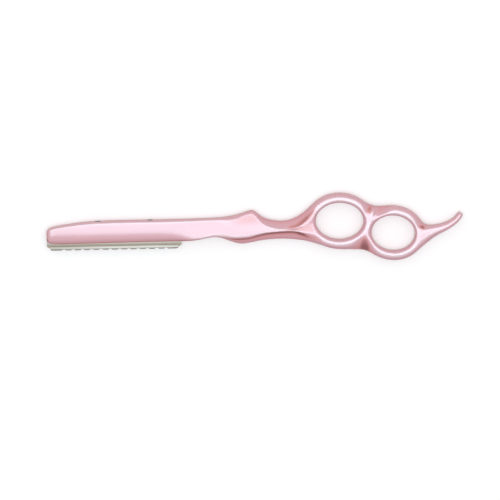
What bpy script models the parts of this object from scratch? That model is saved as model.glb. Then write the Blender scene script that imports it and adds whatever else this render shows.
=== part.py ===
"""Hair styling razor with two finger rings and a slide-in guarded blade.

Run with: blender --background --python part.py

The razor lies flat on its side. +X runs from the head's tip to the end of the finger rest, +Y from the
cutting edge to the spine, +Z up through the thickness. All lengths are in metres.
"""
import math

import bmesh
import bpy
from mathutils import Vector

# Driving sizes of the handle
body_length = 0.12145            # tip of the head to the crest of the first ring
head_height = 0.0104             # spine to lower edge, beside the blade
handle_thickness = 0.0058
first_hole_length = 0.0218
first_hole_height = 0.0169
second_hole_length = 0.0198
second_hole_height = 0.0162
ring_bar_width = 0.0047          # wall of a ring, seen from the side
first_ring_rise = 0.00304        # centre of the first hole above the head's middle line
finger_rest_length = 0.01745     # from the second ring to the end of the rest
finger_rest_rise = 0.0091
finger_rest_root_width = 0.0066
ring_line_angle = math.radians(-13.7)
first_ring_tilt = math.radians(-1)
second_ring_tilt = math.radians(-7)

# Slot, clip and screws
slot_depth = 0.0053
clip_wall = 0.0003
clip_lift = 0.0005               # open edge of the clip above the head's lower edge
clip_tip_inset = 0.0012
screw_diameter = 0.0023
screw_sink = 0.0001              # top of a screw under the spine
socket_width = 0.00127           # across the flats
socket_depth = 0.0013
screw_chamfer = 0.0003
front_screw_place = 0.0237       # from the tip of the head
rear_screw_place = 0.0476

# Blade, its folded back and its guard
blade_length = 0.062
blade_thickness = 0.00025
blade_drop = 0.00265             # cutting edge below the head's lower edge
blade_bevel = 0.0009
blade_corner_length = 0.0025     # clipped corner at each end of the cutting edge
blade_corner_rise = 0.00125
back_wall = 0.00025
back_drop = 0.00075
guard_wall = 0.00025
guard_reveal = 0.0005            # bare steel between the back and the guard
guard_end_inset = 0.0016
guard_tooth_pitch = 0.00427
guard_first_notch = 0.0078       # middle of the first notch from the blade's front end
guard_last_tooth = 0.0020        # least steel behind the last notch
guard_notch_width = 0.0021
guard_notch_depth = 0.0011

fit_gap = 0.0003                 # air between neighbouring pieces
overrun = 0.002                  # how far a cutter passes the surface it cuts

# Counts
ring_steps = 20
first_top_steps = 3              # steps of each ring from the shared bar to the end of a web
second_top_steps = 4
first_bottom_steps = 4
second_bottom_steps = 4
smoothing = 1
round_sides = 24
notch_arc_steps = 8

# Outline of the head: place along the body, then the spine and the lower edge in head heights
head_outline_shares = (
    (0.026, 0.272, -0.512),
    (0.081, 0.362, -0.508),
    (0.139, 0.446, -0.504),
    (0.196, 0.492, -0.497),
    (0.295, 0.499, -0.489),
    (0.402, 0.494, -0.477),
    (0.492, 0.500, -0.469),
    (0.553, 0.502, -0.468),
)
head_edge_share = 0.0915         # how far in from an edge the flat face starts, in head heights
head_side_share = 0.76           # half height of the head's side wall, in half thicknesses
tip_wall_shares = (0.110, -0.330)    # spine and lower edge at the tip's wall, then at the face's first row
tip_face_shares = (0.222, -0.474)

# Outline of the hump, the neck and the flare: place along the body, then six lines from the spine down
# in head heights (spine, upper line, crease, keel, lower line, belly), then the heights of the upper line,
# the ridge, the lower line and the side wall in half thicknesses
neck_line_shares = (
    (0.597, 0.516, 0.420, 0.322, -0.212, -0.292, -0.372, 1.00, 1.00, 1.00, 0.76),
    (0.637, 0.530, 0.426, 0.318, -0.122, -0.190, -0.262, 1.00, 1.00, 1.00, 0.75),
    (0.679, 0.552, 0.436, 0.312, -0.240, -0.334, -0.432, 1.00, 1.00, 1.00, 0.74),
    (0.727, 0.665, 0.500, 0.304, -0.378, -0.516, -0.662, 0.96, 1.00, 0.94, 0.68),
    (0.760, 0.790, 0.606, 0.246, -0.350, -0.486, -0.618, 0.88, 1.00, 0.88, 0.60),
    (0.784, 0.890, 0.682, 0.170, -0.222, -0.382, -0.562, 0.80, 1.00, 0.82, 0.54),
    (0.806, 0.610, 0.400, 0.062, -0.136, -0.316, -0.512, 0.78, 1.00, 0.80, 0.50),
    (0.834, 0.420, 0.220, -0.004, -0.104, -0.282, -0.470, 0.76, 1.00, 0.78, 0.48),
    (0.884, 0.322, 0.148, -0.020, -0.094, -0.254, -0.436, 0.76, 1.01, 0.76, 0.46),
    (0.921, 0.372, 0.160, -0.008, -0.094, -0.258, -0.462, 0.82, 1.00, 0.82, 0.46),
    (0.955, 0.545, 0.150, 0.026, -0.086, -0.206, -0.508, 0.97, 0.98, 0.97, 0.46),
    (0.981, 0.775, 0.322, 0.115, -0.060, -0.246, -0.556, 1.05, 0.93, 1.05, 0.48),
)

# Heights of the rings' lines, in half thicknesses
ring_crest_share = 7 / 6
ring_side_share = 0.5
flare_crest_shares = (1.10, 0.92, 0.92, 1.10)
root_crest_shares = (1.08, 1.00, 1.10)
join_crest_share = 1.12
web_ridge_share = 0.8

# How far the edge between the rings sags inward, in ring bar widths
top_web_sag_shares = (0.14, 0.20, 0.17, 0.09)
bottom_web_sag_shares = (0.12, 0.24, 0.35, 0.40, 0.28)

# Finger rest: place along its length, rise, heading in degrees, half width in root widths, thickness
finger_rest_shares = (
    (0.127, 0.013, 15, 0.490, 0.98),
    (0.316, 0.129, 17, 0.345, 0.86),
    (0.520, 0.255, 22, 0.282, 0.76),
    (0.714, 0.447, 35, 0.235, 0.66),
    (0.867, 0.705, 50, 0.205, 0.57),
    (0.974, 0.975, 57, 0.135, 0.50),
)
finger_rest_shoulder_share = 0.88

# Sizes that follow
half_thickness = handle_thickness / 2
head_lower_edge = -head_height / 2
slot_top = head_lower_edge + slot_depth
slot_end = blade_length + fit_gap
clip_top = slot_top - fit_gap
clip_bottom = head_lower_edge + clip_lift
back_top = clip_top - clip_wall - fit_gap
back_bottom = head_lower_edge - back_drop
blade_top = back_top - back_wall - fit_gap
blade_edge = head_lower_edge - blade_drop
guard_top = back_bottom - guard_reveal
guard_bottom = blade_edge - fit_gap - guard_wall
back_half_width = blade_thickness / 2 + fit_gap + back_wall
guard_half_width = blade_thickness / 2 + fit_gap + guard_wall
clip_half_width = back_half_width + fit_gap + clip_wall
slot_half_width = clip_half_width + fit_gap
screw_bottom = clip_top + fit_gap


class Ring:
    """One finger ring: three ovals round a hole, each point at the same step of the turn."""

    def __init__(self, hole_length, hole_height, tilt, start):
        self.half_length = hole_length / 2
        self.half_height = hole_height / 2
        self.tilt = tilt
        self.start = start
        self.centre = Vector((0, 0))

    def reach(self, direction, offset):
        """Distance from the centre to an oval that lies offset outside the hole, in one direction."""
        turned = direction - self.tilt
        across = math.cos(turned) / (self.half_length + offset)
        up = math.sin(turned) / (self.half_height + offset)
        return 1 / math.hypot(across, up)

    def point(self, step, offset):
        """A corner of the cage. The smooth ring lies a little inside its cage, so the oval is let out."""
        turn = math.tau / ring_steps
        let_out = 1 / (0.75 + 0.25 * math.cos(turn))
        angle = self.start + turn * step
        flat = Vector((math.cos(angle) * (self.half_length + offset) * let_out,
                       math.sin(angle) * (self.half_height + offset) * let_out))
        along = flat.x * math.cos(self.tilt) - flat.y * math.sin(self.tilt)
        up = flat.x * math.sin(self.tilt) + flat.y * math.cos(self.tilt)
        return self.centre + Vector((along, up))


def start_angle(hole_length, hole_height, direction, tilt):
    """The angle at which an oval's own turn points in a direction."""
    crest_offset = ring_bar_width / 2
    stretch = (hole_length / 2 + crest_offset) / (hole_height / 2 + crest_offset)
    turned = direction - tilt
    return math.atan2(math.sin(turned) * stretch, math.cos(turned))


def place_rings():
    """The first ring follows the body, and the second shares one bar with it along the ring line."""
    facing_back = ring_line_angle + math.pi
    first = Ring(first_hole_length, first_hole_height, first_ring_tilt,
                 start_angle(first_hole_length, first_hole_height, ring_line_angle, first_ring_tilt))
    second = Ring(second_hole_length, second_hole_height, second_ring_tilt,
                  start_angle(second_hole_length, second_hole_height, facing_back, second_ring_tilt))
    first.centre = Vector((body_length + first_hole_length / 2 + ring_bar_width / 2, first_ring_rise))
    spacing = first.reach(ring_line_angle, 0) + ring_bar_width + second.reach(facing_back, 0)
    line = Vector((math.cos(ring_line_angle), math.sin(ring_line_angle)))
    second.centre = first.centre + line * spacing
    return first, second


first_ring, second_ring = place_rings()
finger_rest_start = second_ring.centre.x + second_hole_length / 2 + ring_bar_width
overall_length = finger_rest_start + finger_rest_length
highest = first_ring.centre.y + first_ring.reach(math.pi / 2, ring_bar_width)
lowest = second_ring.centre.y - second_ring.reach(-math.pi / 2, ring_bar_width)

# The head's tip and middle line are moved so that the origin is under the middle of the razor
tip = Vector((-overall_length / 2, -(highest + lowest) / 2, half_thickness))


def remove_all_objects():
    for thing in list(bpy.data.objects):
        bpy.data.objects.remove(thing, do_unlink=True)


def material(name, colour, metallic, roughness):
    made = bpy.data.materials.new(name)
    made.use_nodes = True
    shader = made.node_tree.nodes["Principled BSDF"]
    shader.inputs["Base Color"].default_value = (*colour, 1)
    shader.inputs["Metallic"].default_value = metallic
    shader.inputs["Roughness"].default_value = roughness
    return made


def object_from(name, bm, look=None):
    bmesh.ops.recalc_face_normals(bm, faces=bm.faces[:])
    mesh = bpy.data.meshes.new(name)
    bm.to_mesh(mesh)
    bm.free()
    made = bpy.data.objects.new(name, mesh)
    bpy.context.collection.objects.link(made)
    if look:
        mesh.materials.append(look)
    return made


def cutter_from(name, bm):
    made = object_from(name, bm)
    made.hide_render = True
    made.display_type = "WIRE"
    return made


def cut(target, cutter):
    step = target.modifiers.new(cutter.name, "BOOLEAN")
    step.operation = "DIFFERENCE"
    step.object = cutter
    cutter.parent = target.parent


def loft(bm, sections):
    """A closed solid through rings of points, with a flat cap at each end."""
    rings = [[bm.verts.new(point) for point in section] for section in sections]
    count = len(rings[0])
    for near, far in zip(rings, rings[1:]):
        for i in range(count):
            j = (i + 1) % count
            bm.faces.new((near[i], near[j], far[j], far[i]))
    bm.faces.new(rings[0])
    bm.faces.new(reversed(rings[-1]))


def box(bm, low, high):
    corners = ((low[1], low[2]), (high[1], low[2]), (high[1], high[2]), (low[1], high[2]))
    loft(bm, [[(x, y, z) for y, z in corners] for x in (low[0], high[0])])


def body_lines():
    """Rows of cage points across the body, from the tip to the flare: six lines from spine to belly."""
    inset = head_edge_share
    rows = []
    first_row = inset * head_height / body_length
    outline = ((0, *tip_wall_shares), (first_row, *tip_face_shares), *head_outline_shares)
    for along, spine, lower in outline:
        lines = (spine, spine - inset, spine - 2 * inset, lower + 2 * inset, lower + inset, lower)
        side = head_side_share
        rows.append((along, lines, (side,) * 6 if along == 0 else (side, 1, 1, 1, 1, side)))
    for share in neck_line_shares:
        upper, ridge, lower, side = share[7:11]
        rows.append((share[0], share[1:7], (side, upper, ridge, ridge, lower, side)))
    points = []
    for along, lines, heights in rows:
        points.append([Vector((along * body_length, line * head_height, height * half_thickness))
                       for line, height in zip(lines, heights)])
    return points


def finger_rest_lines():
    """Rows of cage points across the finger rest, from its root to its end: five lines."""
    points = []
    for along, rise, heading, half_width, thickness in finger_rest_shares:
        centre = Vector((finger_rest_start + along * finger_rest_length,
                         second_ring.centre.y + rise * finger_rest_rise, 0))
        angle = math.radians(heading)
        across = Vector((-math.sin(angle), math.cos(angle), 0)) * half_width * finger_rest_root_width
        shoulder = finger_rest_shoulder_share * thickness
        side = ring_side_share * thickness
        last = (along, rise) == finger_rest_shares[-1][:2]
        heights = (side,) * 5 if last else (side, shoulder, thickness, shoulder, side)
        points.append([centre + across * place + Vector((0, 0, height * half_thickness))
                       for place, height in zip((1, 0.5, 0, -0.5, -1), heights)])
    return points


def at_height(flat, share):
    return Vector((flat.x, flat.y, share * half_thickness))


def web_points(start, end, sags, inward):
    """Points along the edge that fills the notch between two rings."""
    count = len(sags) + 1
    return [start.lerp(end, (i + 1) / count) + Vector((0, inward * sag * ring_bar_width, 0))
            for i, sag in enumerate(sags)]


def handle_cage():
    """One network of lines: body, two rings and finger rest. The lower half mirrors the upper half."""
    bm = bmesh.new()
    crest_offset = ring_bar_width / 2
    flare_first = ring_steps // 2
    flare_last = flare_first + len(flare_crest_shares) - 1
    root_high = ring_steps // 2 + 1
    root_low = root_high - len(root_crest_shares) + 1
    top_first, top_second = first_top_steps, ring_steps - second_top_steps
    bottom_first, bottom_second = ring_steps - first_bottom_steps, second_bottom_steps

    def new(point):
        return bm.verts.new(point)

    holes = [[new(at_height(ring.point(k, 0), ring_side_share)) for k in range(ring_steps)]
             for ring in (first_ring, second_ring)]

    def crest(ring, k, share=ring_crest_share):
        return at_height(ring.point(k, crest_offset), share)

    def outer(ring, k):
        return at_height(ring.point(k, ring_bar_width), ring_side_share)

    # Crest lines, with three points of the first ring shared by the second
    first_crest = {}
    second_crest = {}
    shared = ((0, 0, ring_crest_share), (1, -1, join_crest_share), (-1, 1, join_crest_share))
    for k, m, share in shared:
        middle = crest(first_ring, k, share).lerp(crest(second_ring, m, share), 0.5)
        first_crest[k % ring_steps] = second_crest[m % ring_steps] = new(middle)
    flare_heights = dict(zip(range(flare_first, flare_last + 1), flare_crest_shares))
    root_heights = dict(zip(range(root_high, root_low - 1, -1), root_crest_shares))
    for k in range(ring_steps):
        if k not in first_crest:
            first_crest[k] = new(crest(first_ring, k, flare_heights.get(k, ring_crest_share)))
        if k not in second_crest:
            second_crest[k] = new(crest(second_ring, k, root_heights.get(k, ring_crest_share)))

    # Outer edge: body, first ring's free arcs, the webs, second ring's free arcs, finger rest
    body = body_lines()
    rest = finger_rest_lines()
    free = (*range(top_first, flare_first), *range(flare_last + 1, bottom_first + 1))
    first_edge = {k: outer(first_ring, k) for k in free}
    free = (*range(bottom_second, root_low + 1), *range(root_high + 1, top_second + 1))
    second_edge = {k: outer(second_ring, k) for k in free}
    first_edge[flare_first] = body[-1][0].lerp(first_edge[flare_first - 1], 0.5)
    first_edge[flare_last] = body[-1][-1].lerp(first_edge[flare_last + 1], 0.5)
    second_edge[root_high] = rest[0][0].lerp(second_edge[root_high + 1], 0.5)
    top_web = web_points(first_edge[top_first], second_edge[top_second], top_web_sag_shares, -1)
    for point, k in zip(top_web, range(top_first - 1, 0, -1)):
        first_edge[k] = point
    for point, k in zip(reversed(top_web), range(top_second + 1, ring_steps - 1)):
        second_edge[k] = point
    bottom_web = web_points(first_edge[bottom_first], second_edge[bottom_second], bottom_web_sag_shares, 1)
    for point, k in zip(bottom_web, range(bottom_first + 1, ring_steps)):
        first_edge[k] = point
    for point, k in zip(reversed(bottom_web), range(bottom_second - 1, 1, -1)):
        second_edge[k] = point
    first_edge[1] = at_height(first_edge[1], web_ridge_share)
    second_edge[root_high] = at_height(second_edge[root_high], web_ridge_share)
    first_edge = {k: new(point) for k, point in first_edge.items()}
    second_edge = {k: new(point) for k, point in second_edge.items()}
    second_edge[ring_steps - 1] = first_edge[1]
    second_edge[1] = first_edge[ring_steps - 1]

    # Body and finger rest as strips that end on the rings' own points
    strips = [[[new(point) for point in row] for row in body], [[new(point) for point in row] for row in rest]]
    strips[0].append([first_edge[flare_first], *(first_crest[k] for k in flare_heights), first_edge[flare_last]])
    strips[1].insert(0, [second_edge[root_high], *(second_crest[k] for k in root_heights), second_edge[root_low]])
    for strip in strips:
        for near, far in zip(strip, strip[1:]):
            for i in range(len(near) - 1):
                bm.faces.new((near[i], near[i + 1], far[i + 1], far[i]))

    # Rings: hole edge to crest all round, crest to outer edge where that edge is free
    for hole, line in zip(holes, (first_crest, second_crest)):
        for k in range(ring_steps):
            j = (k + 1) % ring_steps
            bm.faces.new((hole[k], line[k], line[j], hole[j]))
    for line, edge in ((first_crest, first_edge), (second_crest, second_edge)):
        for k in range(ring_steps - 1):
            if k in edge and k + 1 in edge:
                bm.faces.new((line[k], edge[k], edge[k + 1], line[k + 1]))

    close_with_mirror(bm)
    return bm


def close_with_mirror(bm):
    """Copies the upper skin below the middle plane and walls the open edges between the two."""
    upper_faces = bm.faces[:]
    open_edges = [edge for edge in bm.edges if edge.is_boundary]
    below = {vert: bm.verts.new((vert.co.x, vert.co.y, -vert.co.z)) for vert in bm.verts[:]}
    for face in upper_faces:
        bm.faces.new([below[vert] for vert in reversed(face.verts)])
    for edge in open_edges:
        start, end = edge.verts
        bm.faces.new((start, end, below[end], below[start]))


def spine_height(along):
    """Height of the spine over the middle line, read from the head's outline."""
    share = along / body_length
    for near, far in zip(head_outline_shares, head_outline_shares[1:]):
        if near[0] <= share <= far[0]:
            mix = (share - near[0]) / (far[0] - near[0])
            return (near[1] + (far[1] - near[1]) * mix) * head_height
    return head_outline_shares[-1][1] * head_height


def make_handle(parent, look, screw_places):
    handle = object_from("handle", handle_cage(), look)
    handle.parent = parent
    smooth = handle.modifiers.new("smooth", "SUBSURF")
    smooth.levels = smoothing
    smooth.render_levels = smoothing
    slot = bmesh.new()
    box(slot, (-overrun, head_lower_edge - overrun, -slot_half_width), (slot_end, slot_top, slot_half_width))
    cut(handle, cutter_from("slot_cutter", slot))
    for number, place in enumerate(screw_places):
        hole = bmesh.new()
        top = spine_height(place) + overrun
        rod(hole, place, slot_top - fit_gap, top, screw_diameter / 2 + fit_gap, 0)
        cut(handle, cutter_from(f"screw_hole_cutter_{number}", hole))
    return handle


def rod(bm, place, bottom, top, radius, chamfer):
    """A round rod along Y, with a chamfer at each end if one is given."""
    ends = [(bottom, radius), (top, radius)]
    if chamfer:
        ends = [(bottom, radius - chamfer), (bottom + chamfer, radius),
                (top - chamfer, radius), (top, radius - chamfer)]
    sections = []
    for height, r in ends:
        sections.append([(place + r * math.cos(math.tau * k / round_sides), height,
                          r * math.sin(math.tau * k / round_sides)) for k in range(round_sides)])
    loft(bm, sections)


def make_screw(name, parent, look, place):
    """A set screw with a hexagon socket, threaded into the spine and pressing on the clip."""
    top = spine_height(place) - screw_sink
    body = bmesh.new()
    rod(body, place, screw_bottom, top, screw_diameter / 2, screw_chamfer)
    screw = object_from(name, body, look)
    screw.parent = parent
    socket = bmesh.new()
    corner = socket_width / 2 / math.cos(math.pi / 6)
    sections = []
    for height in (top - socket_depth, top + overrun):
        sections.append([(place + corner * math.cos(math.tau * k / 6), height,
                          corner * math.sin(math.tau * k / 6)) for k in range(6)])
    loft(socket, sections)
    cut(screw, cutter_from(f"{name}_socket_cutter", socket))
    return screw


def channel_section(x, closed, opened, half_width, wall):
    """A folded strip seen from its end. The fold is at closed, the open side at opened."""
    inner = half_width - wall
    floor = closed - math.copysign(wall, closed - opened)
    outline = ((opened, half_width), (closed, half_width), (closed, -half_width), (opened, -half_width),
               (opened, -inner), (floor, -inner), (floor, inner), (opened, inner))
    return [(x, y, z) for y, z in outline]


def make_channel(name, parent, look, start, end, closed, opened, half_width, wall):
    bm = bmesh.new()
    loft(bm, [channel_section(x, closed, opened, half_width, wall) for x in (start, end)])
    made = object_from(name, bm, look)
    made.parent = parent
    return made


def corner_stations(inset):
    """Places along the blade and how far its clipped corners lift the edge there, for a piece set in from
    both ends."""
    rise = blade_corner_rise * (1 - inset / blade_corner_length)
    return ((inset, rise), (blade_corner_length, 0), (blade_length - blade_corner_length, 0),
            (blade_length - inset, rise))


def make_blade(parent, look):
    """A flat strip whose lower edge is ground to a point, with clipped lower corners."""
    bm = bmesh.new()
    half = blade_thickness / 2
    sections = []
    for x, rise in corner_stations(0):
        edge = blade_edge + rise
        outline = ((blade_top, half), (blade_top, -half), (edge + blade_bevel, -half), (edge, 0),
                   (edge + blade_bevel, half))
        sections.append([(x, y, z) for y, z in outline])
    loft(bm, sections)
    blade = object_from("blade_strip", bm, look)
    blade.parent = parent
    return blade


def make_guard(parent, look):
    """A comb folded round the cutting edge, open upwards, with rounded notches between its teeth."""
    bm = bmesh.new()
    sections = []
    for x, rise in corner_stations(guard_end_inset):
        sections.append(channel_section(x, guard_bottom + rise, guard_top, guard_half_width, guard_wall))
    loft(bm, sections)
    guard = object_from("blade_guard", bm, look)
    guard.parent = parent
    notches = bmesh.new()
    last = blade_length - guard_end_inset - guard_last_tooth - guard_notch_width / 2
    for k in range(int((last - guard_first_notch) / guard_tooth_pitch) + 1):
        notch(notches, guard_first_notch + k * guard_tooth_pitch)
    cut(guard, cutter_from("guard_notch_cutter", notches))
    return guard


def notch(bm, centre):
    """A slot with a round top, through both walls of the guard."""
    radius = guard_notch_width / 2
    crown = guard_bottom + guard_notch_depth - radius
    outline = [(centre + radius, guard_bottom - overrun)]
    for k in range(notch_arc_steps + 1):
        angle = math.pi * k / notch_arc_steps
        outline.append((centre + radius * math.cos(angle), crown + radius * math.sin(angle)))
    outline.append((centre - radius, guard_bottom - overrun))
    reach = guard_half_width + overrun
    loft(bm, [[(x, y, z) for x, y in outline] for z in (-reach, reach)])


def main():
    remove_all_objects()
    pink = material("pink_anodised", (0.78, 0.45, 0.50), 0.8, 0.35)
    spring = material("spring_steel", (0.55, 0.55, 0.56), 1.0, 0.35)
    black = material("black_oxide", (0.03, 0.03, 0.035), 0.7, 0.45)
    satin = material("satin_steel", (0.60, 0.58, 0.54), 1.0, 0.35)
    ground = material("ground_steel", (0.66, 0.65, 0.62), 1.0, 0.2)

    frame = bpy.data.objects.new("razor", None)
    frame.location = tip
    bpy.context.collection.objects.link(frame)
    cartridge = bpy.data.objects.new("cartridge", None)
    cartridge.parent = frame
    bpy.context.collection.objects.link(cartridge)

    make_handle(frame, pink, (front_screw_place, rear_screw_place))
    make_screw("clip_screw_front", frame, black, front_screw_place)
    make_screw("clip_screw_rear", frame, black, rear_screw_place)
    make_channel("blade_clip", frame, spring, clip_tip_inset, blade_length, clip_top, clip_bottom,
                 clip_half_width, clip_wall)
    make_channel("blade_back", cartridge, satin, 0, blade_length, back_top, back_bottom,
                 back_half_width, back_wall)
    make_blade(cartridge, ground)
    make_guard(cartridge, satin)


main()
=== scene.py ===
# %% [markdown]
# A hair styling razor, dressed for a render: a pink metal handle with two finger rings, and a steel blade
# cartridge in a slot under its head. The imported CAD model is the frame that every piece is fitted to.
# One could keep the CAD solids and only colour them, but their facets and square folds show close up.
# Here each one is modelled again over its solid, finer, and rides on the same body as before.

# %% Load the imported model
import math

import bmesh
import bpy
from mathutils import Matrix, Vector


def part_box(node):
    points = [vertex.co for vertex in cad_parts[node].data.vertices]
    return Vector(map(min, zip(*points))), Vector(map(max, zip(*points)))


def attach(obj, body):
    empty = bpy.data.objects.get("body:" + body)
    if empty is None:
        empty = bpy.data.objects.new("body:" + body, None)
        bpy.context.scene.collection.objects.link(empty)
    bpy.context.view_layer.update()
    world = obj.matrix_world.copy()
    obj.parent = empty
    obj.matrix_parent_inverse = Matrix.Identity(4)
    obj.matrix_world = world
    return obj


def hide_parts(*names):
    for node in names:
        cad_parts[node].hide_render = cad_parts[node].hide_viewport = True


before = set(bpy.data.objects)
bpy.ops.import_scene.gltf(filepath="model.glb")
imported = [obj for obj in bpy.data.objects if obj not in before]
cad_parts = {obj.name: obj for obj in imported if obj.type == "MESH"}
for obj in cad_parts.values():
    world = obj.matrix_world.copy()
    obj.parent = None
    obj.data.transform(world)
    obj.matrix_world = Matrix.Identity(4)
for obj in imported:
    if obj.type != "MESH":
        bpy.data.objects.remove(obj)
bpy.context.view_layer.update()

# %% [markdown]
# The razor was photographed lying flat, from above, by a camera that leans about nine degrees towards the
# spine, so the spine's wall shows as a thin band. The picture is also turned by about one degree.
# A camera can be aimed with a constraint, but then its roll is hard to set. Three perpendicular directions
# are written into its matrix instead, which gives the lean and the roll exactly. A long lens a good way off
# keeps the perspective as flat as in the photograph.

# %% Camera
half = 0.0029                # half the handle's thickness, and the height of its middle plane
photo_width = 500            # pixels
pixel = 0.00046              # what one of them spans on the razor
lean = math.radians(9)
roll = math.radians(1.07)
camera_distance = 1.278
looked_at = Vector((-0.00233, -0.00994, half))

towards_camera = Vector((0, math.sin(lean), math.cos(lean)))
away_from_edge = Vector((0, math.cos(lean), -math.sin(lean)))
along_razor = Vector((1, 0, 0))
picture_right = along_razor * math.cos(roll) - away_from_edge * math.sin(roll)
picture_up = along_razor * math.sin(roll) + away_from_edge * math.cos(roll)

bpy.ops.object.select_all(action="DESELECT")
bpy.ops.object.camera_add()
camera = bpy.context.object
camera.name = "camera"
camera.data.lens = 200
camera.data.sensor_width = camera.data.lens * photo_width * pixel / camera_distance
camera.data.clip_end = 10
turned = Matrix((picture_right, picture_up, towards_camera)).transposed().to_4x4()
camera.matrix_world = Matrix.Translation(looked_at + towards_camera * camera_distance) @ turned
bpy.context.scene.camera = camera
print("camera at", [round(value, 3) for value in camera.location])

# %% [markdown]
# The light is that of a product studio: one wide soft box, almost overhead, where a flat face mirrors it
# into the camera, so the gloss of the coat shows as a broad pale sheen. The spot that is mirrored is near
# the box's rim on the cutting side. A face that tilts that way by three degrees has lost its gloss already,
# and that is how the head darkens towards the blade. The lamp is a little blue, which keeps the sheen white
# over the pink. Several small lamps would give several small highlights, and the photograph has none.

# %% Soft box
bpy.context.scene.view_settings.view_transform = "Standard"
lamp_side = math.radians(2)
lamp_place = (0, -math.sin(lamp_side), math.cos(lamp_side))
bpy.ops.object.select_all(action="DESELECT")
bpy.ops.object.light_add(type="AREA", location=lamp_place)
lamp = bpy.context.object
lamp.name = "overhead_soft_box"
lamp.data.shape = "RECTANGLE"
lamp.data.size = 0.64
lamp.data.size_y = 0.46
lamp.data.energy = 2.8
lamp.data.color = (0.86, 1.0, 1.14)
lamp.rotation_euler = Vector(lamp_place).to_track_quat("Z", "Y").to_euler()
print("soft box of", round(lamp.data.energy, 2), "W at", [round(value, 3) for value in lamp.location])

# %% [markdown]
# Shader nodes are easier to read as sums than as a list of links. A small class wraps one socket, and its
# plus, minus, times and divide add the Math node that does the work. Every other node comes from one
# method, which takes the node's type, its settings and the values or links of its sockets.

# %% Shader maths
class Wire:
    def __init__(self, recipe, socket):
        self.recipe = recipe
        self.socket = socket

    def maths(self, operation, first, second):
        return self.recipe.node("ShaderNodeMath", {"operation": operation}, {0: first, 1: second})

    def __add__(self, other):
        return self.maths("ADD", self, other)

    def __radd__(self, other):
        return self.maths("ADD", other, self)

    def __sub__(self, other):
        return self.maths("SUBTRACT", self, other)

    def __rsub__(self, other):
        return self.maths("SUBTRACT", other, self)

    def __mul__(self, other):
        return self.maths("MULTIPLY", self, other)

    def __rmul__(self, other):
        return self.maths("MULTIPLY", other, self)

    def __truediv__(self, other):
        return self.maths("DIVIDE", self, other)

    def __rtruediv__(self, other):
        return self.maths("DIVIDE", other, self)

    def __abs__(self):
        return self.recipe.node("ShaderNodeMath", {"operation": "ABSOLUTE"}, {0: self})

    def __getitem__(self, output):
        return Wire(self.recipe, self.socket.node.outputs[output])


class Recipe:
    """The nodes of a material or of the world. surface is a material's Principled shader."""

    def __init__(self, holder, **constants):
        holder.use_nodes = True
        self.holder = holder
        self.tree = holder.node_tree
        self.surface = self.tree.nodes.get("Principled BSDF")
        for socket, value in constants.items():
            self.surface.inputs[socket.replace("_", " ")].default_value = value

    def node(self, kind, settings=None, sockets=None):
        made = self.tree.nodes.new(kind)
        for setting, value in (settings or {}).items():
            if setting == "stops":
                ramp = made.color_ramp.elements
                while len(ramp) < len(value):
                    ramp.new(0.5)
                for element, (position, colour) in zip(ramp, value):
                    element.position = position
                    element.color = (*colour, 1)
            else:
                setattr(made, setting, value)
        for socket, value in (sockets or {}).items():
            self.feed(made.inputs[socket], value)
        return Wire(self, made.outputs[0])

    def feed(self, target, value):
        if isinstance(value, Wire):
            self.tree.links.new(value.socket, target)
        else:
            target.default_value = value

    def place(self, scale=(1, 1, 1)):
        """The point on the piece, in metres times scale."""
        own = self.node("ShaderNodeTexCoord")["Object"]
        return self.node("ShaderNodeMapping", None, {"Vector": own, "Scale": scale})

    def noise(self, scale, detail, stretch=(1, 1, 1)):
        return self.node("ShaderNodeTexNoise", None,
                         {"Vector": self.place(stretch), "Scale": scale, "Detail": detail})

    def clamped(self, value):
        """The value, held between 0 and 1."""
        return self.node("ShaderNodeMath", {"operation": "MULTIPLY", "use_clamp": True}, {0: value, 1: 1.0})

    def blend(self, factor, first, second):
        """A colour that goes from the first to the second as factor goes from 0 to 1."""
        first, second = ((*colour, 1) if isinstance(colour, tuple) else colour for colour in (first, second))
        return self.node("ShaderNodeMix", {"data_type": "RGBA"}, {0: factor, 6: first, 7: second})[2]

    def bump(self, height, distance):
        return self.node("ShaderNodeBump", None, {"Height": height, "Distance": distance})

    def finish(self, **varying):
        for socket, value in varying.items():
            self.feed(self.surface.inputs[socket.replace("_", " ")], value)
        print(self.holder.name, "has", len(self.tree.nodes), "nodes")
        return self.holder

# %% [markdown]
# The world is the studio round the soft box: pale overhead, dimmer towards the horizon, as in a room whose
# walls stand far back, and a little brighter on the spine's side. An even world would leave the steep edges
# as light as the faces. With the dimmer horizon they turn a deeper pink and outline the forms. The pattern
# goes by a ray's direction alone: how high it points, plus a share of how far it points to the spine's side.

# %% World
spine_side_share = 0.4
room = ((0.0, (0.20, 0.20, 0.205)), (0.35, (0.42, 0.42, 0.43)), (0.75, (0.82, 0.80, 0.80)))
world = bpy.data.worlds.new("studio")
bpy.context.scene.world = world
recipe = Recipe(world)
ray = recipe.node("ShaderNodeTexCoord")["Generated"]
direction = recipe.node("ShaderNodeSeparateXYZ", None, {0: ray})
shade = recipe.node("ShaderNodeValToRGB", {"stops": room}, {0: direction["Z"] + spine_side_share * direction["Y"]})
recipe.feed(recipe.tree.nodes["Background"].inputs["Color"], shade)
recipe.tree.nodes["Background"].inputs["Strength"].default_value = 1.03
print("world has", len(recipe.tree.nodes), "nodes")

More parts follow.
